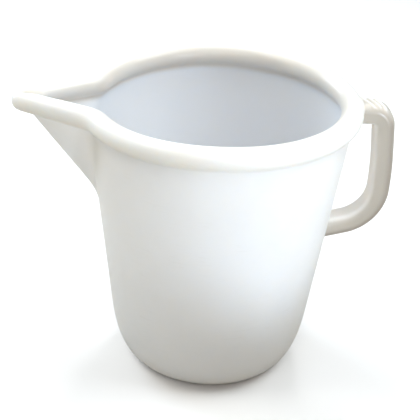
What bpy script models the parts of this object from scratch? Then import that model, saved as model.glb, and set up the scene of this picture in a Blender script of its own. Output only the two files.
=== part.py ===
"""Measuring pitcher moulded in one piece of plastic.

A tapered round vessel with a large rounded base, a thick round bead along its rim, a long beak
spout on the -X side and a D-shaped handle with thumb ridges on the +X side. Metres, +Z up. The
origin is the middle of the flat base, on the surface that the pitcher stands on.
"""

import math

import bmesh
import bpy
from mathutils import Vector

# Vessel
HEIGHT = 0.198
RIM_RADIUS = 0.086
BEAD_RADIUS = 0.0073
BEAD_FILLET = 0.0032
WALL = 0.0030
WALL_RADIUS_AT_FLOOR = 0.0638
WALL_RADIUS_UNDER_BEAD = 0.0873
BASE_CORNER_REACH = 0.019
BASE_CORNER_HEIGHT = 0.042
BASE_CORNER_POWER = 2.6

# Spout
SPOUT_HALF_ANGLE = math.radians(30.1)
SPOUT_APEX = 0.1321
SPOUT_NOSE_RADIUS = 0.0028
SPOUT_BEAD_TAPER = 0.10
SPOUT_BLEND = 0.0055
RIM_DIP = 0.0026
RIM_DIP_START_X = 0.005
RIM_DIP_END_X = -0.085
KEEL_FOOT_HEIGHT = 0.1225
KEEL_TOP_REACH = 0.1275
KEEL_NOSE_RADIUS = 0.0030
SHARPEST_NOSE = 0.0004

# Handle, with its centreline in the XZ plane and heights measured down from the rim's top
HANDLE_THICKNESS = 0.0136
HANDLE_WIDTH = 0.0185
HANDLE_OUTER_ROUNDING = 0.0055
HANDLE_INNER_ROUNDING = 0.0025
HANDLE_ROOT = Vector((0.076, -0.0117))
HANDLE_UPPER_CORNER = Vector((0.1083, -0.0117))
HANDLE_GRIP_MIDDLE = Vector((0.1116, -0.0520))
HANDLE_LOWER_CORNER = Vector((0.1105, -0.0890))
HANDLE_FOOT = Vector((0.066, -0.1003))
HANDLE_UPPER_BEND = 0.0085
HANDLE_GRIP_BEND = 0.250
HANDLE_LOWER_BEND = 0.0290

# Thumb ridges across the top of the handle's upper arm
RIDGE_COUNT = 3
RIDGE_FIRST_X = 0.0965
RIDGE_PITCH = 0.0046
RIDGE_RADIUS = 0.0021
RIDGE_SINK = 0.0013
RIDGE_SKEW = math.radians(25)
RIDGE_END = math.radians(60)

# Fineness of the facets
COLUMNS = 88
COLUMN_CROWDING = 0.78
CORNER_STEPS = 6
SPOUT_STEPS = 8
BEAD_STEPS = 13
RIDGE_STEPS = 5
WELD = 0.00001

WALL_RUN = (WALL_RADIUS_UNDER_BEAD - WALL_RADIUS_AT_FLOOR) / (HEIGHT - 2 * BEAD_RADIUS)
BEAD_HEIGHT = HEIGHT - BEAD_RADIUS
FLANK_SINE = math.sin(SPOUT_HALF_ANGLE)
HANDLE_STATIONS = (
    HANDLE_ROOT,
    HANDLE_UPPER_CORNER,
    HANDLE_GRIP_MIDDLE,
    HANDLE_LOWER_CORNER,
    HANDLE_FOOT,
)


def smooth_step(share):
    share = min(max(share, 0.0), 1.0)
    return share * share * (3.0 - 2.0 * share)


def larger_blended(first, second, width):
    """The larger of two values, rounded where they come within width of each other."""
    closeness = max(width - abs(first - second), 0.0) / width
    return max(first, second) + closeness * closeness * width / 4.0


def beaked_radius(azimuth, round_radius, flank_distance, nose_radius):
    """Plan radius of a circle with a beak, at an angle from the beak's middle.

    The beak's flanks are straight lines at flank_distance from the axis, joined by a round nose.
    """
    nose_radius = max(nose_radius, SHARPEST_NOSE)
    nose_centre = (flank_distance - nose_radius) / FLANK_SINE
    if nose_centre + nose_radius < round_radius - SPOUT_BLEND:
        return round_radius
    tangent_y = nose_radius * math.cos(SPOUT_HALF_ANGLE)
    tangent_x = nose_centre + nose_radius * FLANK_SINE
    if azimuth <= math.atan2(tangent_y, tangent_x):
        across = nose_centre * math.sin(azimuth)
        beak = nose_centre * math.cos(azimuth) + math.sqrt(nose_radius**2 - across**2)
    else:
        beak = flank_distance / math.sin(min(SPOUT_HALF_ANGLE + azimuth, math.pi / 2))
    return larger_blended(beak, round_radius, SPOUT_BLEND)


def rim_radius(azimuth, offset):
    """Plan radius of the rim bead's centreline, offset outwards."""
    flank = SPOUT_APEX * FLANK_SINE
    return beaked_radius(azimuth, RIM_RADIUS + offset, flank + offset, SPOUT_NOSE_RADIUS + offset)


def wall_round_radius(height):
    return WALL_RADIUS_AT_FLOOR + WALL_RUN * height


def wall_radius(azimuth, round_radius, height, offset):
    """Plan radius of the wall, whose spout widens in a straight keel from its foot to the rim."""
    foot_reach = wall_round_radius(KEEL_FOOT_HEIGHT)
    rise = (height - KEEL_FOOT_HEIGHT) / (BEAD_HEIGHT - RIM_DIP - KEEL_FOOT_HEIGHT)
    keel_reach = foot_reach + (KEEL_TOP_REACH - foot_reach) * rise
    flank = (keel_reach - KEEL_NOSE_RADIUS) * FLANK_SINE + KEEL_NOSE_RADIUS
    return beaked_radius(azimuth, round_radius, flank + offset, KEEL_NOSE_RADIUS + offset)


def rim_dip(x):
    """How far the rim has dropped at x on its way to the spout's tip."""
    return RIM_DIP * smooth_step((RIM_DIP_START_X - x) / (RIM_DIP_START_X - RIM_DIP_END_X))


def base_corner(step):
    """Radius and height on the rounded corner between the flat base and the wall."""
    angle = math.pi / 2 * (1.0 - step / CORNER_STEPS)
    exponent = 2.0 / BASE_CORNER_POWER
    height = BASE_CORNER_HEIGHT * (1.0 - math.sin(angle) ** exponent)
    inset = BASE_CORNER_REACH * (1.0 - math.cos(angle) ** exponent)
    return wall_round_radius(height) - inset, height


def corner_rings(thickness):
    """Corner points from the base to the wall, moved inwards by a thickness."""
    points = [Vector(base_corner(step)) for step in range(CORNER_STEPS + 1)]
    slopes = [Vector((1.0, 0.0))]
    slopes += [(after - before).normalized() for before, after in zip(points, points[2:])]
    slopes.append(Vector((WALL_RUN, 1.0)).normalized())
    return [point + thickness * Vector((-slope.y, slope.x)) for point, slope in zip(points, slopes)]


def fillet_under_bead(wall_offset, side):
    """Depth of the fillet below the bead's middle, and the angle where the bead's arc starts."""
    reach = side * wall_offset + BEAD_FILLET
    depth = math.sqrt((BEAD_RADIUS + BEAD_FILLET) ** 2 - reach**2)
    return depth, math.atan2(-depth, side * reach)


def rings():
    """The vessel's section from the middle of the base, over the rim and down to the floor.

    A wall ring holds its round radius, its height and its offset from the outer surface. A bead
    ring holds its offset outwards from the bead's centreline and its height above it.
    """
    outer_offset = wall_round_radius(BEAD_HEIGHT) - RIM_RADIUS
    inner_offset = outer_offset - WALL
    outer_depth, first_angle = fillet_under_bead(outer_offset, 1)
    inner_depth, last_angle = fillet_under_bead(inner_offset, -1)
    last_angle += 2.0 * math.pi
    outer = [("wall", point.x, point.y, 0.0) for point in corner_rings(0.0)]
    inner = [("wall", point.x, point.y, -WALL) for point in corner_rings(WALL)]
    first = KEEL_FOOT_HEIGHT - 2.0 * SPOUT_BLEND
    for step in range(SPOUT_STEPS + 1):
        share = step / SPOUT_STEPS
        height = first + (BEAD_HEIGHT - outer_depth - first) * share
        outer.append(("wall", wall_round_radius(height), height, 0.0))
        height = first + (BEAD_HEIGHT - inner_depth - first) * share
        inner.append(("wall", wall_round_radius(height) - WALL, height, -WALL))
    bead = []
    for step in range(BEAD_STEPS + 1):
        angle = first_angle + (last_angle - first_angle) * step / BEAD_STEPS
        bead.append(("bead", BEAD_RADIUS * math.cos(angle), BEAD_RADIUS * math.sin(angle)))
    return outer + bead + inner[::-1]


def placed(ring, azimuth):
    """Radius and height of a ring at an angle from the spout's middle."""
    if ring[0] == "bead":
        _, offset, rise = ring
        reach = rim_radius(azimuth, 0.0)
        out = (reach - RIM_RADIUS) / (rim_radius(0.0, 0.0) - RIM_RADIUS)
        size = 1.0 - SPOUT_BEAD_TAPER * smooth_step(out)
        radius = rim_radius(azimuth, offset * size)
        height = BEAD_HEIGHT + rise * size - rim_dip(-reach * math.cos(azimuth))
        return radius, height
    _, round_radius, height, offset = ring
    radius = wall_radius(azimuth, round_radius, height, offset)
    share = smooth_step((height - KEEL_FOOT_HEIGHT) / (BEAD_HEIGHT - KEEL_FOOT_HEIGHT))
    return radius, height - share * rim_dip(-radius * math.cos(azimuth))


def model_vessel():
    """The turned vessel, spun from its section, with its spout then pulled out of the wall."""
    section = rings()
    mesh = bpy.data.meshes.new("pitcher")
    work = bmesh.new()
    ring_number = work.verts.layers.int.new("ring")
    line = [work.verts.new((0.0, 0.0, 0.0))]
    for number, ring in enumerate(section):
        radius, height = placed(ring, math.pi)
        line.append(work.verts.new((radius, 0.0, height)))
        line[-1][ring_number] = number + 1
    line.append(work.verts.new((0.0, 0.0, WALL)))
    edges = [work.edges.new(pair) for pair in zip(line, line[1:])]
    bmesh.ops.spin(
        work,
        geom=line + edges,
        cent=(0.0, 0.0, 0.0),
        axis=(0.0, 0.0, 1.0),
        angle=2.0 * math.pi,
        steps=COLUMNS,
        use_merge=True,
    )
    for vert in work.verts:
        number = vert[ring_number]
        if number == 0:
            continue
        azimuth = math.atan2(vert.co.y, -vert.co.x)
        azimuth -= COLUMN_CROWDING * math.sin(azimuth)
        radius, height = placed(section[number - 1], abs(azimuth))
        vert.co = (-radius * math.cos(azimuth), radius * math.sin(azimuth), height)
    bmesh.ops.remove_doubles(work, verts=work.verts, dist=WELD)
    bmesh.ops.recalc_face_normals(work, faces=work.faces)
    work.verts.layers.int.remove(ring_number)
    work.to_mesh(mesh)
    work.free()
    return bpy.data.objects.new("pitcher", mesh)


def rounded_corner(before, corner, after, bend, steps):
    """Points of an arc of radius bend that rounds the corner between two straight runs."""
    back = (before - corner).normalized()
    ahead = (after - corner).normalized()
    half_opening = back.angle(ahead) / 2.0
    centre = corner + (back + ahead).normalized() * bend / math.sin(half_opening)
    start = corner + back * bend / math.tan(half_opening) - centre
    end = corner + ahead * bend / math.tan(half_opening) - centre
    turn = start.angle(end)
    arc = []
    for step in range(steps + 1):
        angle = turn * step / steps
        weights = (math.sin(turn - angle), math.sin(angle))
        arc.append(centre + (start * weights[0] + end * weights[1]) / math.sin(turn))
    return arc


def handle_line():
    """The handle's centreline from inside the rim bead, round the grip, to inside the wall."""
    bends = ((HANDLE_UPPER_BEND, 6), (HANDLE_GRIP_BEND, 3), (HANDLE_LOWER_BEND, 8))
    line = [HANDLE_ROOT]
    for number, (bend, steps) in enumerate(bends):
        line += rounded_corner(*HANDLE_STATIONS[number:number + 3], bend, steps)
    return line + [HANDLE_FOOT]


def handle_section():
    """The grip's section: a rounded rectangle, with larger roundings on the handle's outer side."""
    half = Vector((HANDLE_WIDTH / 2.0, HANDLE_THICKNESS / 2.0))
    corners = [
        (1, 1, HANDLE_OUTER_ROUNDING),
        (-1, 1, HANDLE_OUTER_ROUNDING),
        (-1, -1, HANDLE_INNER_ROUNDING),
        (1, -1, HANDLE_INNER_ROUNDING),
    ]
    points = []
    for number, (side_x, side_y, rounding) in enumerate(corners):
        centre = Vector((side_x * (half.x - rounding), side_y * (half.y - rounding)))
        for step in range(5):
            angle = math.pi / 2.0 * (number + step / 4.0)
            points.append(centre + rounding * Vector((math.cos(angle), math.sin(angle))))
    return points


def poly_curve(name, points, cyclic):
    curve = bpy.data.curves.new(name, "CURVE")
    curve.dimensions = "3D"
    spline = curve.splines.new("POLY")
    spline.points.add(len(points) - 1)
    for spline_point, point in zip(spline.points, points):
        spline_point.co = (*point, 1.0)
    spline.use_cyclic_u = cyclic
    return curve


def mesh_from_curve(name, curve):
    """A closed mesh object of a curve's tube, with its end caps welded on."""
    source = bpy.data.objects.new(name + " line", curve)
    bpy.context.scene.collection.objects.link(source)
    evaluated = source.evaluated_get(bpy.context.evaluated_depsgraph_get())
    mesh = bpy.data.meshes.new_from_object(evaluated)
    made = bpy.data.objects.new(name, mesh)
    made.matrix_world = source.matrix_world
    bpy.data.objects.remove(source)
    work = bmesh.new()
    work.from_mesh(mesh)
    bmesh.ops.remove_doubles(work, verts=work.verts, dist=WELD)
    bmesh.ops.recalc_face_normals(work, faces=work.faces)
    work.to_mesh(mesh)
    work.free()
    return made


def model_handle():
    """The D-shaped handle, swept along its centreline with a constant section."""
    line = [(point.x, 0.0, HEIGHT + point.y) for point in handle_line()]
    section = poly_curve("grip section", [(*point, 0.0) for point in handle_section()], True)
    section_object = bpy.data.objects.new("grip section", section)
    bpy.context.scene.collection.objects.link(section_object)
    curve = poly_curve("handle", line, False)
    curve.bevel_mode = "OBJECT"
    curve.bevel_object = section_object
    curve.use_fill_caps = True
    handle = mesh_from_curve("handle", curve)
    bpy.data.objects.remove(section_object)
    return handle


def arm_top(x):
    """Height of the upper arm's top at x, where it starts to bend down into the grip."""
    bend_start = rounded_corner(*HANDLE_STATIONS[:3], HANDLE_UPPER_BEND, 1)[0]
    outer_bend = HANDLE_UPPER_BEND + HANDLE_THICKNESS / 2.0
    past = max(x - bend_start.x, 0.0)
    return HEIGHT + bend_start.y - HANDLE_UPPER_BEND + math.sqrt(outer_bend**2 - past**2)


def ridge_line(x):
    """One thumb ridge: it follows the arm's flat top and dives into both rounded shoulders."""
    flat = HANDLE_WIDTH / 2.0 - HANDLE_OUTER_ROUNDING
    line = [(0.0, RIDGE_SINK)]
    for step in range(RIDGE_STEPS + 1):
        share = step / RIDGE_STEPS
        angle = RIDGE_END * share
        reach = HANDLE_OUTER_ROUNDING - RIDGE_SINK - RIDGE_RADIUS * smooth_step(share)
        line.append((flat + reach * math.sin(angle), HANDLE_OUTER_ROUNDING - reach * math.cos(angle)))
    both = [(-y, drop) for y, drop in line[:0:-1]] + line
    skew = math.tan(RIDGE_SKEW)
    return [(x - y * skew, y, arm_top(x - y * skew) - drop) for y, drop in both]


def model_ridge(number):
    curve = poly_curve("thumb ridge", ridge_line(RIDGE_FIRST_X + number * RIDGE_PITCH), False)
    curve.bevel_depth = RIDGE_RADIUS
    curve.bevel_resolution = 3
    curve.use_fill_caps = True
    return mesh_from_curve(f"thumb ridge {number + 1}", curve)


def model_wall_core():
    """A plain cone through the middle of the wall, which ends the handle's arms inside it."""
    mesh = bpy.data.meshes.new("wall core")
    work = bmesh.new()
    bmesh.ops.create_cone(
        work,
        cap_ends=True,
        segments=COLUMNS,
        radius1=wall_round_radius(0.0) - WALL / 2.0,
        radius2=wall_round_radius(HEIGHT) - WALL / 2.0,
        depth=HEIGHT,
    )
    bmesh.ops.translate(work, verts=work.verts, vec=(0.0, 0.0, HEIGHT / 2.0))
    work.to_mesh(mesh)
    work.free()
    return bpy.data.objects.new("wall core", mesh)


def add_boolean(target, name, operation, operand):
    modifier = target.modifiers.new(name, "BOOLEAN")
    modifier.operation = operation
    modifier.object = operand
    modifier.solver = "EXACT"


def white_plastic():
    material = bpy.data.materials.new("white plastic")
    material.use_nodes = True
    shader = material.node_tree.nodes["Principled BSDF"]
    shader.inputs["Base Color"].default_value = (0.84, 0.83, 0.79, 1.0)
    shader.inputs["Roughness"].default_value = 0.34
    shader.inputs["Metallic"].default_value = 0.0
    material.diffuse_color = (0.84, 0.83, 0.79, 1.0)
    return material


def new_collection(name):
    collection = bpy.data.collections.new(name)
    bpy.context.scene.collection.children.link(collection)
    return collection


def main():
    for old in list(bpy.data.objects):
        bpy.data.objects.remove(old, do_unlink=True)
    parts = new_collection("measuring pitcher")
    cutters = new_collection("pitcher cutters")
    pitcher = model_vessel()
    handle = model_handle()
    ridges = [model_ridge(number) for number in range(RIDGE_COUNT)]
    core = model_wall_core()
    parts.objects.link(pitcher)
    for helper in [handle, core] + ridges:
        cutters.objects.link(helper)
        helper.hide_render = True
        helper.display_type = "WIRE"
    add_boolean(handle, "end inside the wall", "DIFFERENCE", core)
    add_boolean(pitcher, "join the handle", "UNION", handle)
    for ridge in ridges:
        add_boolean(pitcher, "join a thumb ridge", "UNION", ridge)
    pitcher.data.materials.append(white_plastic())
    pitcher.data.shade_smooth()
    pitcher.data.set_sharp_from_angle(angle=math.radians(40))


main()
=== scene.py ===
"""Looks of a measuring pitcher: one off-white plastic moulding on a plain stage.

The vessel is a section spun round the pitcher's axis, whose wall and rim are then drawn out into
the spout. The handle is a rounded section extruded along its centreline, with thumb ridges raised
on its upper arm and both ends flared into the vessel. The two are united into one moulding, which
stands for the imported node. Sizes are in metres, the spout points along -X and the middle of the
base is the origin.
"""

import math

import bmesh
import bpy
from bpy.props import FloatProperty, FloatVectorProperty, IntProperty, PointerProperty
from mathutils import Matrix, Vector
from mathutils.bvhtree import BVHTree
from mathutils.kdtree import KDTree


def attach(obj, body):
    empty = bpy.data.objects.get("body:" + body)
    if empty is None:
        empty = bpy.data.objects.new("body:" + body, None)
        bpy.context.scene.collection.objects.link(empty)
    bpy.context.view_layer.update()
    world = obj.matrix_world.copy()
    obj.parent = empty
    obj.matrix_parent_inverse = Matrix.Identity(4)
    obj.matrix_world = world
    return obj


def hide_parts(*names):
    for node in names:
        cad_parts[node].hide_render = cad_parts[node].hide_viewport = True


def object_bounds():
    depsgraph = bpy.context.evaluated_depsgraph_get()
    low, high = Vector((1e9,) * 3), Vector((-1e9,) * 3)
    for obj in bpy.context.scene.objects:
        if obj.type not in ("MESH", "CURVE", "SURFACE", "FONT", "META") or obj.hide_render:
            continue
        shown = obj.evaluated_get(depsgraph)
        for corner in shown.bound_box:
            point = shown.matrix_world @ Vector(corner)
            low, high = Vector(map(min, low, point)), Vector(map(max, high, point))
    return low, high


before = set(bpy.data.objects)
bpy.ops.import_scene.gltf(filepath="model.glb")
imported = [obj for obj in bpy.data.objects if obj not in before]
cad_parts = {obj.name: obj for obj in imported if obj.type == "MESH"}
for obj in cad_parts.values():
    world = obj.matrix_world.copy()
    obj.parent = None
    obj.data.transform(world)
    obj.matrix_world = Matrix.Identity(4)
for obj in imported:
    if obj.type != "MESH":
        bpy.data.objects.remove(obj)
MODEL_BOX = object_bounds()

bl_info = {
    "name": "Measuring Pitcher",
    "version": (1, 0, 0),
    "blender": (4, 5, 0),
    "location": "View3D > Sidebar > Pitcher",
    "description": "Models a plastic measuring pitcher, its finish and a plain studio stage",
    "category": "Add Mesh",
}

NODE = "pitcher"
BODY = "root"
VESSEL = "pitcher_vessel"
HANDLE = "pitcher_handle"
MOULDING = "pitcher_moulding"
WELD = 0.00001
BEND_STEPS = 60
FLAT_STEPS = 6
# The curve of the fillets under the bead: how far its ends are sampled, and its fullness.
TANGENT_DROP = 0.001
TANGENT_TURN = 0.1
FILLET_PULL = 0.42
# The dish in the spout's tip: where it starts and ends, measured back from the spout's apex, and
# the share of the bead's height over which it sinks in.
DISH_START = (0.026, 0.014)
DISH_END = (0.0, 0.006)
DISH_TOP_SHARE = 0.6
# Across the handle's upper arm, in half widths: where the thumb ridges run out.
RIDGE_ENDS = (0.96, 0.62)
# How far the tints reach, in metres: the bead's own tint, and the painted shade on the bead's
# inner side and in the fold beside the spout.
BEAD_TINT_FADE = 0.007
BEAD_TINT_WIDENING = 1.35
LINING_SHADE_FADE = 0.004
FOLD_SHADE_FADE = 0.013
FOLD_SHADE_SHIFT = 0.009
FOLD_SHADE_RISE = 0.045
# Where each painted shade and painted light is nought and full: by how far a point faces outwards
# or up, from -1 to 1, and by where it lies through the handle's thickness, from 0 beside the
# vessel to 1 outside.
LINING_SHADE_FACES = (-0.077, -0.846)
INSIDE_SHADE_FACES = (0.25, -0.25)
TOP_LIGHT_FACES = (0.375, 1.0)
LOWER_SHADE_FACES = (0.5, -0.125)
LIT_SIDE = (0.2, 0.0)
OUTER_SHADE_SIDE = (0.5, 0.9)
TOP_LIGHT_SHARE = 0.3
# Sizes and ranges of the noises in the plastic and the floor.
CLOUD_SIZE = 0.045
CLOUD_RANGE = (0.35, 0.65)
SCUFF_SIZE = 0.004
SCUFF_RANGE = (0.56, 0.68)
SCUFF_TILT = math.radians(14.0)
SCUFF_STRETCH = (0.25, 0.25, 4.0)
PATCH_SIZE = 0.03
PATCH_RANGE = (0.45, 0.7)
FLOOR_CLOUD_SIZE = 0.4
FLOOR_CLOUD_LIFT = 1.02
FLOOR_ROUGHNESS = 0.9
FLOOR_SIDES = 96
SENSOR_WIDTH = 36.0
# Softboxes: name, position, size, power in watts and tint. They all shine on one point.
SOFTBOX_AIM = (0.0, 0.0, 0.1)
SOFTBOXES = (
    ("top light", (0.0, 0.1, 1.5), 1.6, 6.1, (1.0, 1.0, 0.95)),
    ("top right light", (0.8, -0.1, 1.3), 0.8, 12.2, (0.91, 0.97, 1.0)),
    ("top left light", (-0.75, -0.1, 1.25), 0.6, 4.5, (1.0, 0.94, 0.84)),
    ("front light", (-0.1, -1.15, 0.95), 0.6, 4.2, (1.0, 0.95, 0.91)),
    ("back right light", (0.25, 0.9, 1.15), 0.25, 3.6, (0.97, 0.98, 1.0)),
    ("back left light", (-0.9, 0.9, 0.7), 0.7, 12.5, (0.82, 0.91, 1.0)),
    ("left light", (-1.3, 0.0, 0.6), 0.7, 2.8, (0.76, 0.90, 1.0)),
    ("right light", (1.3, 0.0, 0.5), 0.7, 0.6, (1.0, 1.0, 1.0)),
)
# Soft-edged beams: name, position, point they shine on, cone in degrees, softness, power and tint.
BEAMS = (
    ("low beam", (0.69, -1.205, 0.156), (0.052, -0.054, 0.155), 9.2, 0.42, 34, (0.76, 0.87, 1.0)),
    ("high beam", (0.861, -1.567, 0.417), (0.032, -0.047, 0.16), 6.5, 0.34, 26, (0.84, 0.9, 1.0)),
)
BEAM_RADIUS = 0.03


def length(name, description, default):
    """A size that a user can change, in metres."""
    return FloatProperty(
        name=name,
        description=description,
        default=default,
        min=0.0,
        precision=5,
        unit="LENGTH",
        subtype="DISTANCE",
    )


def count(name, description, default):
    return IntProperty(name=name, description=description, default=default, min=3)


def angle(name, description, degrees):
    return FloatProperty(
        name=name,
        description=description,
        default=math.radians(degrees),
        unit="ROTATION",
        subtype="ANGLE",
    )


def share(name, description, default):
    return FloatProperty(name=name, description=description, default=default, min=0.0, max=1.0)


def strength(name, description, default):
    return FloatProperty(name=name, description=description, default=default, min=0.0)


def colour(name, description, default):
    return FloatVectorProperty(
        name=name,
        description=description,
        default=default,
        size=3,
        min=0.0,
        max=1.0,
        subtype="COLOR",
    )


def place(name, description, default):
    """A point that a user can change, in metres."""
    return FloatVectorProperty(
        name=name,
        description=description,
        default=default,
        size=len(default),
        precision=4,
        unit="LENGTH",
        subtype="XYZ" if len(default) == 3 else "NONE",
    )


class PitcherVesselSizes(bpy.types.PropertyGroup):
    """Sizes of the vessel, its rim and its spout."""

    height: length("Height", "From the base to the top of the rim", 0.198)
    rim_radius: length("Rim radius", "From the axis to the middle of the rim's bead", 0.086)
    bead_radius: length("Bead radius", "Half the thickness of the rim's bead", 0.0073)
    bead_fillet: length("Bead fillet", "Rounding under the bead, outside", 0.0032)
    lining_fillet: length("Lining fillet", "Rounding under the bead, inside", 0.0120)
    wall: length("Wall", "Thickness of the wall and the floor", 0.0030)
    floor_radius: length("Radius at the floor", "Outer radius, carried down to the base", 0.0638)
    neck_radius: length("Radius under the bead", "Outer radius just under the bead", 0.0873)
    corner_reach: length("Base corner width", "How far the base's corner reaches in", 0.019)
    corner_height: length("Base corner height", "How far the base's corner reaches up", 0.042)
    corner_power: FloatProperty(
        name="Base corner fullness",
        description="Exponent of the base's corner, where 2 is an ellipse",
        default=2.6,
        min=1.0,
    )
    spout_half_angle: angle("Spout half angle", "Between the spout's middle and each flank", 30.1)
    spout_apex: length("Spout apex", "From the axis to where the rim's flanks would meet", 0.1321)
    spout_nose: length("Spout nose radius", "Rounding of the rim's line at the tip", 0.0028)
    spout_blend: length("Spout blend", "Rounding between a flank and the wall", 0.0055)
    bead_taper: share("Bead taper", "Share of its thickness that the bead loses at the tip", 0.10)
    rim_dip: length("Rim dip", "How far the rim drops towards the tip", 0.0026)
    dip_start: FloatProperty(
        name="Dip start",
        description="Where along X the rim starts to drop",
        default=0.005,
        unit="LENGTH",
    )
    dip_end: FloatProperty(
        name="Dip end",
        description="Where along X the rim has dropped all the way",
        default=-0.085,
        unit="LENGTH",
    )
    dish_depth: length("Dish depth", "Depth of the shallow dish in the spout's tip", 0.0022)
    dish_half_width: length("Dish half width", "Half the width of the dish in the tip", 0.0055)
    keel_foot: length("Keel foot", "Height at which the keel leaves the wall", 0.1225)
    keel_reach: length("Keel reach", "From the axis to the keel's top", 0.1275)
    keel_nose: length("Keel nose radius", "Rounding along the keel", 0.0030)
    sharpest_nose: length("Sharpest nose", "Least rounding inside the spout", 0.0004)
    columns: count("Columns", "Steps round the vessel", 320)
    crowding: share("Crowding", "How far the steps gather towards the spout", 0.78)
    corner_steps: count("Corner steps", "Rings over the base's corner", 22)
    wall_steps: count("Wall steps", "Rings between the base's corner and the spout's foot", 8)
    spout_steps: count("Spout steps", "Rings over the height of the spout", 26)
    fillet_steps: count("Fillet steps", "Rings over the bead's fillet", 6)
    bead_steps: count("Bead steps", "Rings round the bead", 34)


class PitcherHandleSizes(bpy.types.PropertyGroup):
    """Sizes of the handle. Its points are X and Z, with Z measured from the rim's top."""

    thickness: length("Thickness", "Across the grip in the handle's own plane", 0.0136)
    width: length("Width", "Across the grip from side to side", 0.0185)
    outer_rounding: length("Outer rounding", "Rounding of the edges away from the vessel", 0.0055)
    inner_rounding: length("Inner rounding", "Rounding of the edges that face the vessel", 0.0045)
    root: place("Root", "Where the upper arm starts inside the rim", (0.076, -0.0117))
    upper_corner: place("Upper corner", "Corner of upper arm and grip", (0.1083, -0.0117))
    grip_middle: place("Grip middle", "Where the grip bows out most", (0.1116, -0.0520))
    lower_corner: place("Lower corner", "Corner of grip and lower arm", (0.1105, -0.0890))
    foot: place("Foot", "Where the lower arm ends inside the wall", (0.066, -0.1003))
    upper_bend: length("Upper bend", "Bend of the centreline at the upper corner", 0.0085)
    grip_bend: length("Grip bend", "Bend of the centreline along the grip", 0.250)
    lower_bend: length("Lower bend", "Bend of the centreline at the lower corner", 0.0290)
    flare: length("Flare", "Fillet where the arms meet the vessel", 0.0016)
    ridge_count: IntProperty(name="Ridges", description="Number of thumb ridges", default=3)
    ridge_first: length("First ridge", "Where along X the first thumb ridge lies", 0.0965)
    ridge_pitch: length("Ridge pitch", "Distance between thumb ridges", 0.0046)
    ridge_width: length("Ridge width", "Width of a thumb ridge at its foot", 0.0038)
    ridge_height: length("Ridge height", "How far a thumb ridge stands up", 0.0009)
    ridge_skew: angle("Ridge skew", "Slant of the thumb ridges across the arm", 25.0)
    step: length("Step", "Distance between sections along the handle", 0.00036)
    rounding_steps: count("Rounding steps", "Steps over each rounded edge", 9)


class PitcherFinish(bpy.types.PropertyGroup):
    """Colours of the plastic, with its painted light and shade, and its surface."""

    wall_colour: colour("Wall colour", "Thin wall, seen from outside", (0.930, 0.905, 0.870))
    # Painted shade: a darker colour in the fold where the spout's flank meets the wall.
    fold_shade_colour: colour("Fold colour", "Painted shade in the fold beside the spout", (0.680, 0.662, 0.620))
    # Painted shade: a cooler, darker colour on every surface that faces into the vessel or up.
    inside_shade_colour: colour("Inside colour", "Painted shade on the wall's inside", (0.680, 0.718, 0.774))
    bead_colour: colour("Bead colour", "Thick plastic of the rim", (0.935, 0.920, 0.885))
    # Painted shade: a darker beige on the bead's inner side and in the dish of the spout's tip.
    lining_shade_colour: colour("Lining colour", "Inner side of the rim", (0.690, 0.665, 0.620))
    # The whole handle is darker and browner than the wall.
    grip_colour: colour("Grip colour", "Darker colour over the whole handle", (0.550, 0.518, 0.462))
    # Painted light: a paler colour on the handle's top, its thumb ridges and its side facing the
    # vessel.
    grip_light_colour: colour("Pale grip colour", "Handle's top and inner side", (0.860, 0.845, 0.825))
    # Painted shade: a dark colour on the handle's rounded outer side, less where it faces up.
    grip_shade_colour: colour("Outer grip colour", "Handle's rounded outer side", (0.350, 0.310, 0.270))
    stain_colour: colour("Stain colour", "Plastic yellowed with use", (0.700, 0.650, 0.550))
    roughness: share("Roughness", "Roughness of the clean plastic", 0.30)
    scuffed_roughness: share("Scuffed roughness", "Roughness where it has been rubbed", 0.46)
    cloud_tint: share("Cloud tint", "How much the slow clouds stain the plastic", 0.06)
    scuff_tint: share("Scuff tint", "How much the scuffs stain the plastic", 0.25)
    scuff_amount: share("Scuff amount", "Strength of the scuffs", 0.6)
    patch_wear: share("Patch wear", "How rough the rubbed patches are beside the scuffs", 0.35)
    glow: share("Glow", "How much light passes through the plastic's skin", 1.0)
    glow_reach: length("Glow reach", "How far light travels inside the plastic", 0.012)
    grain_size: length("Grain size", "Size of the mould's fine grain", 0.0007)
    grain_depth: length("Grain depth", "Depth of the mould's fine grain", 0.000006)
    ripple_size: length("Ripple size", "Size of the slow ripples left by moulding", 0.022)
    ripple_depth: length("Ripple depth", "Depth of the slow ripples", 0.00005)


class PitcherStageLook(bpy.types.PropertyGroup):
    """Floor, lights and camera."""

    floor_colour: colour("Floor colour", "Colour of the plain floor", (0.96, 0.96, 0.96))
    bounce_colour: colour("Bounce colour", "Colour that the floor reflects", (0.50, 0.46, 0.40))
    floor_radius: length("Floor radius", "Radius of the round floor", 6.0)
    world_colour: colour("World colour", "Soft light from all round", (0.93, 0.95, 1.0))
    world_strength: strength("World strength", "Soft light from all round", 0.06)
    softbox_strength: strength("Softbox strength", "Multiplies the power of every softbox", 1.0)
    beam_strength: strength("Beam strength", "Multiplies the power of every beam", 1.0)
    camera_aim: place("Camera aim", "Point in the picture's middle", (-0.0030, 0.0, 0.1096))
    camera_distance: length("Camera distance", "From the camera to its aim", 0.812)
    camera_turn: angle("Camera turn", "How far the camera stands towards the spout", 4.66)
    camera_tilt: angle("Camera tilt", "How far the camera looks down", 28.48)
    camera_roll: angle("Camera roll", "How far the camera leans clockwise", 3.39)
    camera_lens: FloatProperty(
        name="Camera lens",
        description="Focal length on a sensor 36 mm wide",
        default=101.6,
        min=1.0,
        unit="CAMERA",
    )


def smooth_step(amount):
    amount = min(max(amount, 0.0), 1.0)
    return amount * amount * (3.0 - 2.0 * amount)


def ramp(value, start, end):
    """Rises softly from 0 at start to 1 at end, which may lie either way."""
    return smooth_step((value - start) / (end - start))


def larger_blended(first, second, width):
    """The larger of two values, rounded where they come within width of each other."""
    closeness = max(width - abs(first - second), 0.0) / width
    return max(first, second) + closeness * closeness * width / 4.0


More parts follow.
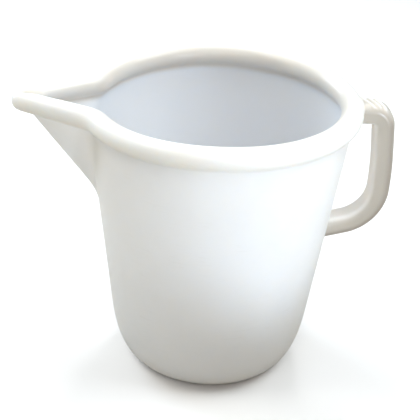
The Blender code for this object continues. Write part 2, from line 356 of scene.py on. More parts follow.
def beaked_radius(vessel, azimuth, round_radius, flank_distance, nose_radius):
    """Plan radius of a circle with a beak, at an angle from the beak's middle.

    The beak's flanks are straight lines at flank_distance from the axis, joined by a round nose.
    """
    half_angle = vessel.spout_half_angle
    nose_radius = max(nose_radius, vessel.sharpest_nose)
    nose_centre = (flank_distance - nose_radius) / math.sin(half_angle)
    if nose_centre + nose_radius < round_radius - vessel.spout_blend:
        return round_radius
    tangent_y = nose_radius * math.cos(half_angle)
    tangent_x = nose_centre + nose_radius * math.sin(half_angle)
    if azimuth <= math.atan2(tangent_y, tangent_x):
        across = nose_centre * math.sin(azimuth)
        beak = nose_centre * math.cos(azimuth) + math.sqrt(nose_radius**2 - across**2)
    else:
        beak = flank_distance / math.sin(min(half_angle + azimuth, math.pi / 2))
    return larger_blended(beak, round_radius, vessel.spout_blend)


def rim_radius(vessel, azimuth, offset):
    """Plan radius of the line along the middle of the rim's bead, offset outwards."""
    flank = vessel.spout_apex * math.sin(vessel.spout_half_angle)
    nose = vessel.spout_nose + offset
    return beaked_radius(vessel, azimuth, vessel.rim_radius + offset, flank + offset, nose)


def wall_run(vessel):
    return (vessel.neck_radius - vessel.floor_radius) / (vessel.height - 2 * vessel.bead_radius)


def wall_round_radius(vessel, height):
    return vessel.floor_radius + wall_run(vessel) * height


def bead_height(vessel):
    return vessel.height - vessel.bead_radius


def flank_distance_at(vessel, height):
    """Distance from the axis to the spout's flank, which grows from the keel's foot upwards."""
    foot_reach = wall_round_radius(vessel, vessel.keel_foot)
    rise = (height - vessel.keel_foot) / (bead_height(vessel) - vessel.rim_dip - vessel.keel_foot)
    keel_reach = foot_reach + (vessel.keel_reach - foot_reach) * rise
    return (keel_reach - vessel.keel_nose) * math.sin(vessel.spout_half_angle) + vessel.keel_nose


def wall_radius(vessel, azimuth, round_radius, height, offset):
    """Plan radius of the wall, drawn out into the spout."""
    flank = flank_distance_at(vessel, height) + offset
    return beaked_radius(vessel, azimuth, round_radius, flank, vessel.keel_nose + offset)


def fold_shade_amount(vessel, azimuth, height):
    """How much painted shade lies in the fold between the spout's flank and the round wall: 1 in
    the fold, 0 a little way off.
    """
    flank = flank_distance_at(vessel, height)
    beak = flank / math.sin(min(vessel.spout_half_angle + azimuth, math.pi / 2))
    apart = abs(beak - wall_round_radius(vessel, height) + FOLD_SHADE_SHIFT)
    rise = ramp(height, vessel.keel_foot, vessel.keel_foot + FOLD_SHADE_RISE)
    return ramp(apart, FOLD_SHADE_FADE, 0.0) * rise


def rim_dip(vessel, x):
    """How far the rim has dropped at x on its way to the spout's tip."""
    return vessel.rim_dip * ramp(x, vessel.dip_start, vessel.dip_end)


def corner_rings(vessel, thickness):
    """Radius and height of points over the base's corner, moved inwards by a thickness."""
    points = []
    exponent = 2.0 / vessel.corner_power
    for step in range(vessel.corner_steps + 1):
        turn = math.pi / 2 * (1.0 - step / vessel.corner_steps)
        height = vessel.corner_height * (1.0 - math.sin(turn) ** exponent)
        inset = vessel.corner_reach * (1.0 - math.cos(turn) ** exponent)
        points.append(Vector((wall_round_radius(vessel, height) - inset, height)))
    slopes = [Vector((1.0, 0.0))]
    slopes += [(after - before).normalized() for before, after in zip(points, points[2:])]
    slopes.append(Vector((wall_run(vessel), 1.0)).normalized())
    inwards = [Vector((-slope.y, slope.x)) for slope in slopes]
    return [point + thickness * normal for point, normal in zip(points, inwards)]


def fillet_under_bead(vessel, wall_offset, side, fillet):
    """Depth of the fillet below the bead's middle, and the angle where the bead's arc starts."""
    reach = side * wall_offset + fillet
    depth = math.sqrt((vessel.bead_radius + fillet) ** 2 - reach**2)
    return depth, math.atan2(-depth, side * reach)


def wall_side(vessel, offset, depth):
    """Rings of one side of the wall, from the middle of the base up to the bead's fillet."""
    rings = [("wall", point.x, point.y, offset) for point in corner_rings(vessel, -offset)]
    foot = vessel.keel_foot - 2.0 * vessel.spout_blend
    heights = []
    for step in range(1, vessel.wall_steps):
        heights.append(rings[-1][2] + (foot - rings[-1][2]) * step / vessel.wall_steps)
    for step in range(vessel.spout_steps + 1):
        heights.append(foot + (bead_height(vessel) - depth - foot) * step / vessel.spout_steps)
    return rings + [("wall", wall_round_radius(vessel, h) + offset, h, offset) for h in heights]


def section_rings(vessel):
    """The vessel's section from the middle of the base, over the rim and down to the floor.

    A wall ring holds its round radius, its height and its offset from the outer surface. A bead
    ring holds its distance from the bead's middle and its angle. A fillet ring lies between a wall
    ring and a bead ring.
    """
    outer_offset = wall_round_radius(vessel, bead_height(vessel)) - vessel.rim_radius
    outer_depth, first_angle = fillet_under_bead(vessel, outer_offset, 1, vessel.bead_fillet)
    inner_offset = outer_offset - vessel.wall
    inner_depth, last_angle = fillet_under_bead(vessel, inner_offset, -1, vessel.lining_fillet)
    last_angle += 2.0 * math.pi
    outer = wall_side(vessel, 0.0, outer_depth)
    inner = wall_side(vessel, -vessel.wall, inner_depth)
    bead = []
    for step in range(vessel.bead_steps + 1):
        turn = first_angle + (last_angle - first_angle) * step / vessel.bead_steps
        bead.append(("bead", vessel.bead_radius, turn))
    for side, end, way in ((outer, bead[0], 1.0), (inner, bead[-1], -1.0)):
        start = side[-1]
        for step in range(1, vessel.fillet_steps):
            side.append(("fillet", start, end, way, step / vessel.fillet_steps))
    return outer + bead + inner[::-1]


def placed(vessel, ring, azimuth):
    """Radius and height of a ring at an angle from the spout's middle."""
    if ring[0] == "bead":
        _, size, turn = ring
        reach = rim_radius(vessel, azimuth, 0.0)
        furthest = rim_radius(vessel, 0.0, 0.0)
        out = (reach - vessel.rim_radius) / (furthest - vessel.rim_radius)
        size *= 1.0 - vessel.bead_taper * smooth_step(out)
        radius = rim_radius(vessel, azimuth, size * math.cos(turn))
        drop = rim_dip(vessel, -reach * math.cos(azimuth))
        return Vector((radius, bead_height(vessel) + size * math.sin(turn) - drop))
    if ring[0] == "wall":
        _, round_radius, height, offset = ring
        radius = wall_radius(vessel, azimuth, round_radius, height, offset)
        rise = (height - vessel.keel_foot) / (bead_height(vessel) - vessel.keel_foot)
        drop = smooth_step(rise) * rim_dip(vessel, -radius * math.cos(azimuth))
        return Vector((radius, height - drop))
    _, wall_ring, bead_ring, way, amount = ring
    start = placed(vessel, wall_ring, azimuth)
    end = placed(vessel, bead_ring, azimuth)
    _, round_radius, height, offset = wall_ring
    lower_radius = round_radius - wall_run(vessel) * TANGENT_DROP
    lower = ("wall", lower_radius, height - TANGENT_DROP, offset)
    further = ("bead", bead_ring[1], bead_ring[2] + way * TANGENT_TURN)
    leaving = (start - placed(vessel, lower, azimuth)).normalized()
    arriving = (placed(vessel, further, azimuth) - end).normalized()
    pull = (end - start).length * FILLET_PULL
    handles = (start, start + leaving * pull, end - arriving * pull, end)
    rest = 1.0 - amount
    weights = (rest**3, 3.0 * rest**2 * amount, 3.0 * rest * amount**2, amount**3)
    return sum((weight * point for weight, point in zip(weights, handles)), Vector((0.0, 0.0)))


def linked_object(name, mesh):
    made = bpy.data.objects.new(name, mesh)
    bpy.context.scene.collection.objects.link(made)
    return made


def mesh_from(work, name):
    """Turns a bmesh into a mesh, with its faces pointing outwards, and frees it."""
    bmesh.ops.remove_doubles(work, verts=work.verts, dist=WELD)
    bmesh.ops.recalc_face_normals(work, faces=work.faces)
    mesh = bpy.data.meshes.new(name)
    work.to_mesh(mesh)
    work.free()
    return mesh


def tip_dish(vessel, point):
    """How far the shallow dish in the spout's tip lowers a point on top of the bead."""
    back = vessel.spout_apex + point.x
    along = ramp(back, *DISH_START) * ramp(back, *DISH_END)
    across = ramp(abs(point.y), vessel.dish_half_width, 0.0)
    above = point.z - bead_height(vessel) + vessel.rim_dip
    on_top = ramp(above, 0.0, DISH_TOP_SHARE * vessel.bead_radius)
    return vessel.dish_depth * along * across * on_top


def modelled_vessel(vessel):
    """The vessel, spun from its section, with its wall and rim then drawn out into the spout."""
    section = section_rings(vessel)
    work = bmesh.new()
    ring_number = work.verts.layers.int.new("ring")
    line = [work.verts.new((0.0, 0.0, 0.0))]
    for number, ring in enumerate(section):
        radius, height = placed(vessel, ring, math.pi)
        line.append(work.verts.new((radius, 0.0, height)))
        line[-1][ring_number] = number + 1
    line.append(work.verts.new((0.0, 0.0, vessel.wall)))
    edges = [work.edges.new(pair) for pair in zip(line, line[1:])]
    bmesh.ops.spin(
        work,
        geom=line + edges,
        cent=(0.0, 0.0, 0.0),
        axis=(0.0, 0.0, 1.0),
        angle=2.0 * math.pi,
        steps=vessel.columns,
        use_merge=True,
    )
    for vert in work.verts:
        if vert[ring_number]:
            azimuth = math.atan2(vert.co.y, -vert.co.x)
            azimuth -= vessel.crowding * math.sin(azimuth)
            radius, height = placed(vessel, section[vert[ring_number] - 1], abs(azimuth))
            vert.co = (-radius * math.cos(azimuth), radius * math.sin(azimuth), height)
            vert.co.z -= tip_dish(vessel, vert.co)
    work.verts.layers.int.remove(ring_number)
    return mesh_from(work, VESSEL)


def rounded_corner(before, corner, after, bend, steps):
    """Points of an arc of radius bend that rounds the corner between two straight runs."""
    back = (before - corner).normalized()
    ahead = (after - corner).normalized()
    half_opening = back.angle(ahead) / 2.0
    centre = corner + (back + ahead).normalized() * bend / math.sin(half_opening)
    start = corner + back * bend / math.tan(half_opening) - centre
    end = corner + ahead * bend / math.tan(half_opening) - centre
    turn = start.angle(end)
    arc = []
    for step in range(steps + 1):
        swept = turn * step / steps
        weights = (math.sin(turn - swept), math.sin(swept))
        arc.append(centre + (start * weights[0] + end * weights[1]) / math.sin(turn))
    return arc


def handle_line(handle, vessel):
    """The handle's centreline from inside the rim to inside the wall, in steps of one length."""
    corners = (handle.upper_corner, handle.grip_middle, handle.lower_corner)
    stations = [Vector((x, vessel.height + z)) for x, z in (handle.root, *corners, handle.foot)]
    line = [stations[0]]
    for number, bend in enumerate((handle.upper_bend, handle.grip_bend, handle.lower_bend)):
        line += rounded_corner(*stations[number:number + 3], bend, BEND_STEPS)
    line.append(stations[-1])
    reached = [0.0]
    for before, after in zip(line, line[1:]):
        reached.append(reached[-1] + (after - before).length)
    total = round(reached[-1] / handle.step)
    points = []
    number = 0
    for step in range(total + 1):
        along = reached[-1] * step / total
        while number < len(line) - 2 and reached[number + 1] < along:
            number += 1
        amount = (along - reached[number]) / (reached[number + 1] - reached[number])
        points.append(line[number].lerp(line[number + 1], amount))
    return points


def grip_section(handle):
    """The grip's rounded section, as distances across it and away from the vessel."""
    half = Vector((handle.width / 2.0, handle.thickness / 2.0))
    outer, inner = handle.outer_rounding, handle.inner_rounding
    points = []
    for number, (side_x, side_y, rounding) in enumerate(
        ((1, 1, outer), (-1, 1, outer), (-1, -1, inner), (1, -1, inner))
    ):
        centre = Vector((side_x * (half.x - rounding), side_y * (half.y - rounding)))
        for step in range(handle.rounding_steps + 1):
            turn = math.pi / 2.0 * (number + step / handle.rounding_steps)
            points.append(centre + rounding * Vector((math.cos(turn), math.sin(turn))))
    closed = []
    for before, after in zip(points, points[1:] + points[:1]):
        parts = max(1, round((after - before).length / handle.outer_rounding * FLAT_STEPS))
        closed += [before.lerp(after, part / parts) for part in range(parts)]
    return closed


def section_frames(line):
    """For each point of the handle's centreline, the matrix that stands its section there."""
    frames = []
    for number, point in enumerate(line):
        ahead = line[min(number + 1, len(line) - 1)]
        behind = line[max(number - 1, 0)]
        along = (ahead - behind).normalized()
        out = Vector((-along.y, along.x))
        first = (0.0, out.x, along.x, point.x)
        third = (0.0, out.y, along.y, point.y)
        frames.append(Matrix((first, (1.0, 0.0, 0.0, 0.0), third, (0.0, 0.0, 0.0, 1.0))))
    return frames


def ridge_rise(handle, across, out, x):
    """How far the thumb ridges lift a point of the upper arm."""
    if out <= 0.0:
        return 0.0
    half = handle.width / 2.0
    fade = ramp(abs(across) / half, *RIDGE_ENDS)
    x += across * math.tan(handle.ridge_skew)
    nearest = round((x - handle.ridge_first) / handle.ridge_pitch)
    nearest = min(max(nearest, 0), handle.ridge_count - 1)
    off = abs(x - handle.ridge_first - nearest * handle.ridge_pitch)
    if off > handle.ridge_width / 2.0:
        return 0.0
    return handle.ridge_height * fade * math.cos(math.pi * off / handle.ridge_width) ** 2


def flare_out(handle, distance):
    """How far an arm's skin swells near the vessel, so that it meets the vessel in a fillet."""
    gap = min(max(handle.flare - distance, 0.0), handle.flare)
    return handle.flare - math.sqrt(handle.flare**2 - gap**2)


def modelled_handle(handle, vessel, surface):
    """The handle, extruded ring by ring, then lifted into ridges and flared into the vessel."""
    line = handle_line(handle, vessel)
    frames = section_frames(line)
    work = bmesh.new()
    verts = [work.verts.new((across, out, 0.0)) for across, out in grip_section(handle)]
    edges = [work.edges.new(pair) for pair in zip(verts, verts[1:] + verts[:1])]
    bmesh.ops.transform(work, matrix=frames[0], verts=verts)
    rings = [verts]
    for before, after in zip(frames, frames[1:]):
        grown = bmesh.ops.extrude_edge_only(work, edges=edges)["geom"]
        verts = [item for item in grown if isinstance(item, bmesh.types.BMVert)]
        edges = [e for e in grown if isinstance(e, bmesh.types.BMEdge) and e.is_boundary]
        bmesh.ops.transform(work, matrix=after @ before.inverted(), verts=verts)
        rings.append(verts)
    bmesh.ops.holes_fill(work, edges=[edge for edge in work.edges if edge.is_boundary])
    bmesh.ops.recalc_face_normals(work, faces=work.faces)
    work.normal_update()
    moves = []
    for verts, standing in zip(rings, frames):
        back = standing.inverted()
        for vert in verts:
            across, out, _ = back @ vert.co
            nearest, normal, _, distance = surface.find_nearest(vert.co)
            if (vert.co - nearest).dot(normal) < 0.0:
                distance = -distance
            swell = flare_out(handle, distance)
            sideways = Vector(standing.to_3x3() @ Vector((across, out, 0.0)))
            rise = ridge_rise(handle, across, out, vert.co.x) if vert.co.z > line[0].y else 0.0
            moves.append((vert, vert.normal * rise + sideways.normalized() * swell))
    for vert, move in moves:
        vert.co += move
    return mesh_from(work, HANDLE)


def wall_core(vessel):
    """A plain cone through the middle of the wall, which ends the handle's arms inside it."""
    work = bmesh.new()
    bmesh.ops.create_cone(
        work,
        cap_ends=True,
        segments=vessel.columns,
        radius1=wall_round_radius(vessel, 0.0) - vessel.wall / 2.0,
        radius2=wall_round_radius(vessel, vessel.height) - vessel.wall / 2.0,
        depth=vessel.height,
    )
    bmesh.ops.translate(work, verts=work.verts, vec=(0.0, 0.0, vessel.height / 2.0))
    return mesh_from(work, "wall_core")


def combined(target, operand, operation):
    """The mesh of a Boolean between two closed objects. The operand is then removed."""
    modifier = target.modifiers.new("combine", "BOOLEAN")
    modifier.operation = operation
    modifier.object = operand
    modifier.solver = "MANIFOLD"
    bpy.context.view_layer.update()
    evaluated = target.evaluated_get(bpy.context.evaluated_depsgraph_get())
    mesh = bpy.data.meshes.new_from_object(evaluated)
    target.modifiers.clear()
    target.data = mesh
    bpy.data.objects.remove(operand)
    return mesh


def fit_inside_model(mesh):
    """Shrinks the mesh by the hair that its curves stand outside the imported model's facets."""
    low, high = MODEL_BOX
    scale = []
    for axis in range(3):
        least = min(vert.co[axis] for vert in mesh.vertices)
        most = max(vert.co[axis] for vert in mesh.vertices)
        room = [high[axis] / most]
        if low[axis] < -WELD:
            room.append(low[axis] / least)
        scale.append(min(room))
    mesh.transform(Matrix.Diagonal((*scale, 1.0)))


def surface_masks(mesh, vessel, handle):
    """Stores how much of each tint every point takes, as attributes of the mesh.

    The tints are the painted shade in the fold beside the spout and on the inside, the rim's bead
    with painted shade on its inner side and in the tip's dish, the handle's darker colour, painted
    light on the handle's top, ridges and side beside the vessel, and painted shade on its outer
    side.
    """
    masks = {name: [] for name in ("fold", "inside", "bead", "lining", "grip", "pale", "outer")}
    centreline = handle_line(handle, vessel)
    root_height = centreline[0].y
    into_section = [standing.inverted() for standing in section_frames(centreline)]
    stations = KDTree(len(centreline))
    for number, (x, z) in enumerate(centreline):
        stations.insert((x, 0.0, z), number)
    stations.balance()
    for vert in mesh.vertices:
        x, y, z = vert.co
        reach = math.hypot(x, y)
        azimuth = abs(math.atan2(y, -x))
        rim = rim_radius(vessel, azimuth, 0.0)
        level = bead_height(vessel) - rim_dip(vessel, x * rim / max(reach, WELD))
        upwards = vert.normal.z
        outwards = (vert.normal.x * x + vert.normal.y * y) / max(reach, WELD)
        in_dish = tip_dish(vessel, vert.co) / vessel.dish_depth
        # Painted shade on the bead's inner side and in the tip's dish.
        lining = max(ramp(outwards, *LINING_SHADE_FACES), in_dish)
        fade = BEAD_TINT_FADE + (LINING_SHADE_FADE - BEAD_TINT_FADE) * lining
        from_middle = math.hypot((reach - rim) / BEAD_TINT_WIDENING, z - level)
        # Painted shade in the fold beside the spout.
        masks["fold"].append(fold_shade_amount(vessel, azimuth, z))
        # Painted shade on surfaces that face into the vessel or up.
        masks["inside"].append(ramp(outwards - upwards, *INSIDE_SHADE_FACES))
        masks["bead"].append(ramp(from_middle - vessel.bead_radius, fade, 0.0))
        masks["lining"].append(lining)
        skin = wall_round_radius(vessel, z)
        if z > level - vessel.bead_radius - vessel.bead_fillet:
            skin = rim + math.sqrt(max(vessel.bead_radius**2 - (z - level) ** 2, 0.0))
        beside_handle = x > 0.0 and abs(y) < handle.width
        grip = ramp(reach - skin, 0.0, handle.flare) if beside_handle else 0.0
        station = stations.find((x, 0.0, z))[1]
        across, out, _ = into_section[station] @ vert.co
        depth = out / handle.thickness + 0.5
        # Painted light on the handle's side facing the vessel, its upward faces and its ridge
        # crests.
        pale = max(ramp(depth, *LIT_SIDE), TOP_LIGHT_SHARE * ramp(upwards, *TOP_LIGHT_FACES))
        if z > root_height:
            pale = max(pale, ridge_rise(handle, across, out, x) / handle.ridge_height)
        # Painted shade on the handle's outer side, less where it faces up.
        outer = ramp(depth, *OUTER_SHADE_SIDE) * ramp(upwards, *LOWER_SHADE_FACES)
        masks["grip"].append(grip)
        masks["pale"].append(pale * grip)
        masks["outer"].append(outer * grip)
    for name, values in masks.items():
        mesh.attributes.new(name, "FLOAT", "POINT").data.foreach_set("value", values)


class PITCHER_OT_model_vessel(bpy.types.Operator):
    """Model the vessel with its rim, spout and rounded base"""

    bl_idname = "pitcher.model_vessel"
    bl_label = "Model Vessel"
    bl_options = {"REGISTER", "UNDO"}

    def execute(self, context):
        linked_object(VESSEL, modelled_vessel(context.scene.pitcher_vessel))
        return {"FINISHED"}


class PITCHER_OT_model_handle(bpy.types.Operator):
    """Model the handle with its thumb ridges, flared where it meets the vessel"""

    bl_idname = "pitcher.model_handle"
    bl_label = "Model Handle"
    bl_options = {"REGISTER", "UNDO"}

    def execute(self, context):
        scene = context.scene
        vessel = bpy.data.objects[VESSEL]
        surface = BVHTree.FromObject(vessel, context.evaluated_depsgraph_get())
        mesh = modelled_handle(scene.pitcher_handle, scene.pitcher_vessel, surface)
        handle = linked_object(HANDLE, mesh)
        core = linked_object("wall_core", wall_core(scene.pitcher_vessel))
        combined(handle, core, "DIFFERENCE")
        return {"FINISHED"}


class PITCHER_OT_unite_moulding(bpy.types.Operator):
    """Unite vessel and handle into one moulding, and give it its plastic"""

    bl_idname = "pitcher.unite_moulding"
    bl_label = "Unite Moulding"
    bl_options = {"REGISTER", "UNDO"}

    def execute(self, context):
        scene = context.scene
        moulding = bpy.data.objects[VESSEL]
        mesh = combined(moulding, bpy.data.objects[HANDLE], "UNION")
        if not mesh.vertices:
            raise RuntimeError("the vessel and the handle did not unite")
        moulding.name = MOULDING
        mesh.name = MOULDING
        surface_masks(mesh, scene.pitcher_vessel, scene.pitcher_handle)
        fit_inside_model(mesh)
        mesh.materials.clear()
        mesh.materials.append(plastic_material(scene.pitcher_finish))
        mesh.shade_smooth()
        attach(moulding, BODY)
        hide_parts(NODE)
        return {"FINISHED"}


def new_group(name, inputs, outputs):
    """An empty shader node group, with the nodes that stand for its sockets."""
    group = bpy.data.node_groups.new(name, "ShaderNodeTree")
    for socket, kind, value in inputs:
        made = group.interface.new_socket(socket, in_out="INPUT", socket_type=kind)
        if value is not None:
            made.default_value = value
    for socket, kind in outputs:
        group.interface.new_socket(socket, in_out="OUTPUT", socket_type=kind)
    return group, group.nodes.new("NodeGroupInput"), group.nodes.new("NodeGroupOutput")


def add_math(tree, operation, first, second):
    """A Math node on two values or sockets. Returns its result."""
    node = tree.nodes.new("ShaderNodeMath")
    node.operation = operation
    for socket, value in zip(node.inputs, (first, second)):
        if isinstance(value, bpy.types.NodeSocket):
            tree.links.new(value, socket)
        else:
            socket.default_value = value
    return node.outputs[0]


def add_noise(tree, vector, size, detail, roughness):
    """A Noise node whose features are about size across. Returns its factor."""
    node = tree.nodes.new("ShaderNodeTexNoise")
    node.inputs["Detail"].default_value = detail
    node.inputs["Roughness"].default_value = roughness
    tree.links.new(vector, node.inputs["Vector"])
    if isinstance(size, bpy.types.NodeSocket):
        tree.links.new(add_math(tree, "DIVIDE", 1.0, size), node.inputs["Scale"])
    else:
        node.inputs["Scale"].default_value = 1.0 / size
    return node.outputs["Fac"]


def add_range(tree, value, low, high, to_low, to_high):
    """A Map Range node that takes a value from one range to another, clamped."""
    node = tree.nodes.new("ShaderNodeMapRange")
    node.interpolation_type = "SMOOTHSTEP"
    tree.links.new(value, node.inputs["Value"])
    limits = {"From Min": low, "From Max": high, "To Min": to_low, "To Max": to_high}
    for socket, number in limits.items():
        node.inputs[socket].default_value = number
    return node.outputs["Result"]


def add_mix(tree, factor, first, second):
    """A Mix node between two colours or colour sockets. Returns its colour."""
    node = tree.nodes.new("ShaderNodeMix")
    node.data_type = "RGBA"
    tree.links.new(factor, node.inputs["Factor"])
    for socket, value in ((node.inputs[6], first), (node.inputs[7], second)):
        if isinstance(value, bpy.types.NodeSocket):
            tree.links.new(value, socket)
        else:
            socket.default_value = (*value, 1.0)
    return node.outputs[2]


def moulded_skin_group():
    """Relief that the mould leaves: slow ripples and a fine grain, as a height in metres."""
    group, given, result = new_group(
        "moulded skin",
        [
            ("Vector", "NodeSocketVector", None),
            ("Ripple Size", "NodeSocketFloat", 0.02),
            ("Ripple Depth", "NodeSocketFloat", 0.0001),
            ("Grain Size", "NodeSocketFloat", 0.0007),
            ("Grain Depth", "NodeSocketFloat", 0.00001),
        ],
        [("Height", "NodeSocketFloat"), ("Cloud", "NodeSocketFloat")],
    )
    vector = given.outputs["Vector"]
    ripple = add_noise(group, vector, given.outputs["Ripple Size"], detail=1.0, roughness=0.4)
    grain = add_noise(group, vector, given.outputs["Grain Size"], detail=2.0, roughness=0.5)
    ripple_height = add_math(group, "MULTIPLY", ripple, given.outputs["Ripple Depth"])
    grain_height = add_math(group, "MULTIPLY", grain, given.outputs["Grain Depth"])
    group.links.new(add_math(group, "ADD", ripple_height, grain_height), result.inputs["Height"])
    cloud = add_noise(group, vector, CLOUD_SIZE, detail=3.0, roughness=0.55)
    group.links.new(add_range(group, cloud, *CLOUD_RANGE, 0.0, 1.0), result.inputs["Cloud"])
    return group


def rubbed_group():
    """Marks of use: fine scuffs that run round the pitcher, and a mask of rubbed patches."""
    group, given, result = new_group(
        "rubbed by use",
        [("Vector", "NodeSocketVector", None), ("Amount", "NodeSocketFloat", 0.5)],
        [("Scuffs", "NodeSocketFloat"), ("Patches", "NodeSocketFloat")],
    )
    vector = given.outputs["Vector"]
    stretch = group.nodes.new("ShaderNodeMapping")
    stretch.inputs["Rotation"].default_value = (0.0, SCUFF_TILT, 0.0)
    stretch.inputs["Scale"].default_value = SCUFF_STRETCH
    group.links.new(vector, stretch.inputs["Vector"])
    fine = add_noise(group, stretch.outputs["Vector"], SCUFF_SIZE, detail=4.0, roughness=0.65)
    lines = add_range(group, fine, *SCUFF_RANGE, 0.0, 1.0)
    patch = add_noise(group, vector, PATCH_SIZE, detail=3.0, roughness=0.6)
    patches = add_range(group, patch, *PATCH_RANGE, 0.0, 1.0)
    scuffs = add_math(group, "MULTIPLY", lines, patches)
    scuffs = add_math(group, "MULTIPLY", scuffs, given.outputs["Amount"])
    group.links.new(scuffs, result.inputs["Scuffs"])
    group.links.new(patches, result.inputs["Patches"])
    return group


def add_group(tree, group, **values):
    node = tree.nodes.new("ShaderNodeGroup")
    node.node_tree = group
    for name, value in values.items():
        node.inputs[name.replace("_", " ").title()].default_value = value
    return node


def add_attribute(tree, name):
    node = tree.nodes.new("ShaderNodeAttribute")
    node.attribute_name = name
    return node.outputs["Fac"]


def plastic_material(finish):
    """Off-white moulded plastic, creamier in the bead and greyer in the grip; cool painted shade
    inside, painted light and shade on rim, fold and handle.
    """
    material = bpy.data.materials.new("off-white plastic")
    material.use_nodes = True
    tree = material.node_tree
    shader = tree.nodes["Principled BSDF"]
    vector = tree.nodes.new("ShaderNodeTexCoord").outputs["Object"]
    skin = add_group(
        tree,
        moulded_skin_group(),
        ripple_size=finish.ripple_size,
        ripple_depth=finish.ripple_depth,
        grain_size=finish.grain_size,
        grain_depth=finish.grain_depth,
    )
    rubbed = add_group(tree, rubbed_group(), amount=finish.scuff_amount)
    tree.links.new(vector, skin.inputs["Vector"])
    tree.links.new(vector, rubbed.inputs["Vector"])
    # Painted shade in the fold beside the spout.
    shown = add_mix(tree, add_attribute(tree, "fold"), finish.wall_colour, finish.fold_shade_colour)
    # Cool, darker painted shade on the inside.
    shown = add_mix(tree, add_attribute(tree, "inside"), shown, finish.inside_shade_colour)
    # Painted shade on the bead's inner side and in the tip's dish.
    rim = add_mix(tree, add_attribute(tree, "lining"), finish.bead_colour, finish.lining_shade_colour)
    shown = add_mix(tree, add_attribute(tree, "bead"), shown, rim)
    shown = add_mix(tree, add_attribute(tree, "grip"), shown, finish.grip_colour)
    # Painted light on the handle's top, ridges and side facing the vessel.
    shown = add_mix(tree, add_attribute(tree, "pale"), shown, finish.grip_light_colour)
    # Painted shade on the handle's outer side.
    shown = add_mix(tree, add_attribute(tree, "outer"), shown, finish.grip_shade_colour)
    clouded = add_math(tree, "MULTIPLY", skin.outputs["Cloud"], finish.cloud_tint)
    shown = add_mix(tree, clouded, shown, finish.stain_colour)
    scuffed = add_math(tree, "MULTIPLY", rubbed.outputs["Scuffs"], finish.scuff_tint)
    shown = add_mix(tree, scuffed, shown, finish.stain_colour)
    tree.links.new(shown, shader.inputs["Base Color"])
    rough = add_math(tree, "MULTIPLY", rubbed.outputs["Patches"], finish.patch_wear)
    rough = add_math(tree, "MAXIMUM", rough, rubbed.outputs["Scuffs"])
    rough = add_range(tree, rough, 0.0, 1.0, finish.roughness, finish.scuffed_roughness)
    tree.links.new(rough, shader.inputs["Roughness"])
    bump = tree.nodes.new("ShaderNodeBump")
    bump.inputs["Strength"].default_value = 1.0
    bump.inputs["Distance"].default_value = 1.0
    tree.links.new(skin.outputs["Height"], bump.inputs["Height"])
    tree.links.new(bump.outputs["Normal"], shader.inputs["Normal"])
    shader.inputs["Subsurface Weight"].default_value = finish.glow
    shader.inputs["Subsurface Radius"].default_value = (1.0, 0.9, 0.8)
    shader.inputs["Subsurface Scale"].default_value = finish.glow_reach
    shader.inputs["IOR"].default_value = 1.5
    return material


def floor_material(stage):
    """Plain pale floor, faintly cloudy, which throws dimmer and warmer light on the pitcher."""
    material = bpy.data.materials.new("pale floor")
    material.use_nodes = True
    tree = material.node_tree
    shader = tree.nodes["Principled BSDF"]
    shader.inputs["Roughness"].default_value = FLOOR_ROUGHNESS
    vector = tree.nodes.new("ShaderNodeTexCoord").outputs["Object"]
    cloud = add_noise(tree, vector, FLOOR_CLOUD_SIZE, detail=2.0, roughness=0.5)
    paler = tuple(min(1.0, value * FLOOR_CLOUD_LIFT) for value in stage.floor_colour)
    seen = add_mix(tree, cloud, tuple(stage.floor_colour), paler)
    directly = tree.nodes.new("ShaderNodeLightPath").outputs["Is Camera Ray"]
    tree.links.new(add_mix(tree, directly, stage.bounce_colour, seen), shader.inputs["Base Color"])
    return material


def add_light(name, data, position, aim):
    """A light at a position, turned towards its aim."""
    lamp = linked_object(name, data)
    lamp.location = position
    lamp.rotation_euler = (Vector(aim) - lamp.location).to_track_quat("-Z", "Y").to_euler()


def add_softbox(name, position, size, power, tint):
    """A square area light that shines on the middle of the pitcher."""
    data = bpy.data.lights.new(name, "AREA")
    data.shape = "SQUARE"
    data.size = size
    data.energy = power
    data.color = tint
    add_light(name, data, position, SOFTBOX_AIM)


def add_camera(stage):
    """The camera at the photograph's viewing angle."""
    data = bpy.data.cameras.new("camera")
    data.lens = stage.camera_lens
    data.sensor_width = SENSOR_WIDTH
    camera = linked_object("camera", data)
    turn, tilt = stage.camera_turn, stage.camera_tilt
    level_part = math.cos(tilt)
    ahead = Vector((math.sin(turn) * level_part, math.cos(turn) * level_part, -math.sin(tilt)))
    camera.location = Vector(stage.camera_aim) - ahead * stage.camera_distance
    level = ahead.to_track_quat("-Z", "Y").to_matrix()
    camera.rotation_euler = (level @ Matrix.Rotation(stage.camera_roll, 3, "Z")).to_euler()
    bpy.context.scene.camera = camera


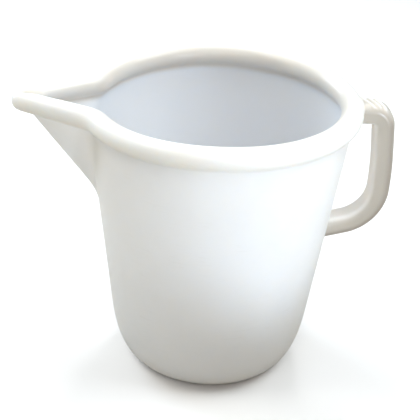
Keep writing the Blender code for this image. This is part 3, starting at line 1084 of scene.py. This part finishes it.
class PITCHER_OT_build_stage(bpy.types.Operator):
    """Lay the plain floor, set the soft lights and place the camera"""

    bl_idname = "pitcher.build_stage"
    bl_label = "Build Stage"
    bl_options = {"REGISTER", "UNDO"}

    def execute(self, context):
        stage = context.scene.pitcher_stage
        work = bmesh.new()
        bmesh.ops.create_circle(
            work, cap_ends=True, segments=FLOOR_SIDES, radius=stage.floor_radius
        )
        mesh = bpy.data.meshes.new("floor")
        work.to_mesh(mesh)
        work.free()
        mesh.materials.append(floor_material(stage))
        linked_object("floor", mesh)
        for name, position, size, power, tint in SOFTBOXES:
            add_softbox(name, position, size, power * stage.softbox_strength, tint)
        for name, position, aim, cone, blend, power, tint in BEAMS:
            beam = bpy.data.lights.new(name, "SPOT")
            beam.energy = power * stage.beam_strength
            beam.color = tint
            beam.spot_size = math.radians(cone)
            beam.spot_blend = blend
            beam.shadow_soft_size = BEAM_RADIUS
            add_light(name, beam, position, aim)
        world = bpy.data.worlds.new("soft studio")
        world.use_nodes = True
        background = world.node_tree.nodes["Background"]
        background.inputs["Color"].default_value = (*stage.world_colour, 1.0)
        background.inputs["Strength"].default_value = stage.world_strength
        context.scene.world = world
        context.scene.view_settings.view_transform = "Standard"
        add_camera(stage)
        return {"FINISHED"}


class PITCHER_PT_panel(bpy.types.Panel):
    """Sidebar panel that lists the pitcher's steps and sizes"""

    bl_idname = "PITCHER_PT_panel"
    bl_label = "Measuring Pitcher"
    bl_space_type = "VIEW_3D"
    bl_region_type = "UI"
    bl_category = "Pitcher"

    def draw(self, context):
        for operator in OPERATORS:
            self.layout.operator(operator.bl_idname)
        for group, name in GROUPS.items():
            box = self.layout.box()
            for setting in group.__annotations__:
                box.prop(getattr(context.scene, name), setting)


GROUPS = {
    PitcherVesselSizes: "pitcher_vessel",
    PitcherHandleSizes: "pitcher_handle",
    PitcherFinish: "pitcher_finish",
    PitcherStageLook: "pitcher_stage",
}
OPERATORS = (
    PITCHER_OT_model_vessel,
    PITCHER_OT_model_handle,
    PITCHER_OT_unite_moulding,
    PITCHER_OT_build_stage,
)
CLASSES = (*GROUPS, *OPERATORS, PITCHER_PT_panel)


def register():
    for cls in CLASSES:
        bpy.utils.register_class(cls)
    for group, name in GROUPS.items():
        setattr(bpy.types.Scene, name, PointerProperty(type=group))


def unregister():
    for name in GROUPS.values():
        delattr(bpy.types.Scene, name)
    for cls in reversed(CLASSES):
        bpy.utils.unregister_class(cls)


def main():
    register()
    bpy.ops.pitcher.model_vessel()
    bpy.ops.pitcher.model_handle()
    bpy.ops.pitcher.unite_moulding()
    bpy.ops.pitcher.build_stage()


if __name__ == "__main__":
    main()
